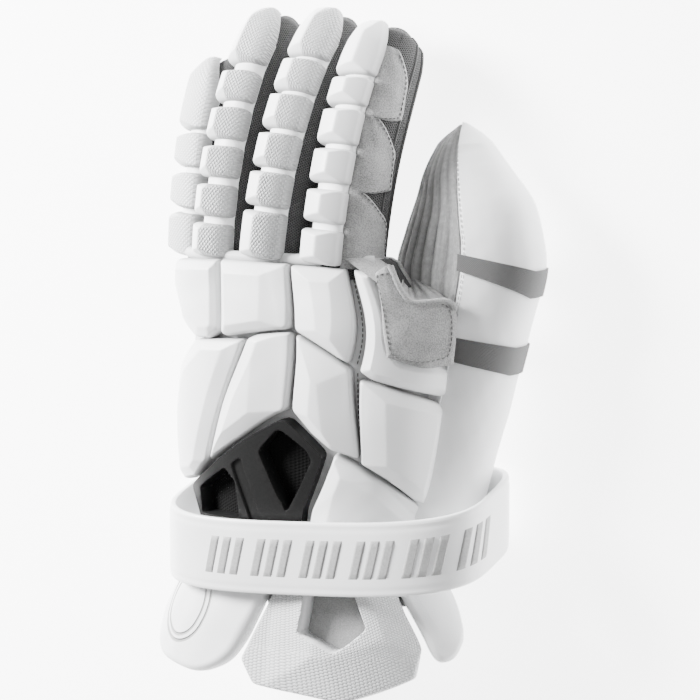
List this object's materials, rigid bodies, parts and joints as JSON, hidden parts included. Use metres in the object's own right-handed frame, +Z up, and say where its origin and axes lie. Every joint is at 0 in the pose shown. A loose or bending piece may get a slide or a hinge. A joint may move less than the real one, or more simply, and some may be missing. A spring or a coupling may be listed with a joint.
{
  "type": "lacrosse glove",
  "caption": "Padded left-hand field sports glove with segmented finger pads, guarded thumb, wrist strap and flared cuff.",
  "frame": {"origin": "under the middle of the glove, on the surface it lies on", "axes": "+Z up, away from the surface under the palm; +Y to the finger tips; +X to the thumb"},
  "size_m": [0.206, 0.3452, 0.0838],
  "materials": {
    "white_leather": "smooth coated white leather over foam",
    "white_backing": "soft white backing leather",
    "white_moulded": "moulded white foam with a knurled face",
    "strap_rubber": "smooth white moulded strap with light grey raised bars",
    "grey_suede": "light grey synthetic suede",
    "grey_knit": "grey stretch knit",
    "grey_elastic": "woven grey elastic",
    "grey_lining": "grey lining",
    "dark_mesh": "dark grey woven mesh",
    "black_mesh": "open black mesh",
    "satin_plastic": "dark grey satin plastic"
  },
  "bodies": {
    "root": {"palm": "grey_suede", "liner": "dark_mesh", "thumb_sleeve": "grey_knit", "thumb_guard": "white_leather", "thumb_band_1": "grey_elastic", "thumb_band_2": "grey_elastic", "back_panel": "white_backing", "knuckle_pad_pinky": "white_leather", "knuckle_pad_middle": "white_leather", "knuckle_pad_index": "white_leather", "web_pad": "white_leather", "back_pad_pinky": "white_leather", "back_pad_middle": "white_leather", "back_pad_index": "white_leather", "back_pad_thumb": "white_leather", "wrist_pad": "white_leather", "vent_frame": "satin_plastic", "vent_mesh": "black_mesh", "cuff_flap_pinky": "white_leather", "cuff_flap_thumb": "white_leather", "cuff_tongue": "white_moulded", "cuff_liner": "grey_lining", "wrist_strap": "strap_rubber", "index_front": "grey_suede", "index_gusset": "dark_mesh", "index_backing": "white_backing", "index_pad_1": "white_leather", "index_pad_2": "white_leather", "index_pad_3": "white_leather", "index_pad_4": "white_leather", "index_pad_5": "white_leather", "index_pad_6": "white_leather", "middle_front": "grey_suede", "middle_gusset": "dark_mesh", "middle_backing": "white_backing", "middle_pad_1": "white_leather", "middle_pad_2": "white_leather", "middle_pad_3": "white_leather", "middle_pad_4": "white_leather", "middle_pad_5": "white_leather", "middle_pad_6": "white_leather", "ring_front": "grey_suede", "ring_gusset": "dark_mesh", "ring_backing": "white_backing", "ring_pad_1": "white_leather", "ring_pad_2": "white_leather", "ring_pad_3": "white_leather", "ring_pad_4": "white_leather", "ring_pad_5": "white_leather", "ring_pad_6": "white_leather", "pinky_front": "grey_suede", "pinky_gusset": "dark_mesh", "pinky_backing": "white_backing", "pinky_pad_1": "white_leather", "pinky_pad_2": "white_leather", "pinky_pad_3": "white_leather", "pinky_pad_4": "white_leather", "index_side_panel": "grey_suede", "thumb_saddle": "grey_suede"}
  },
  "joints": []
}
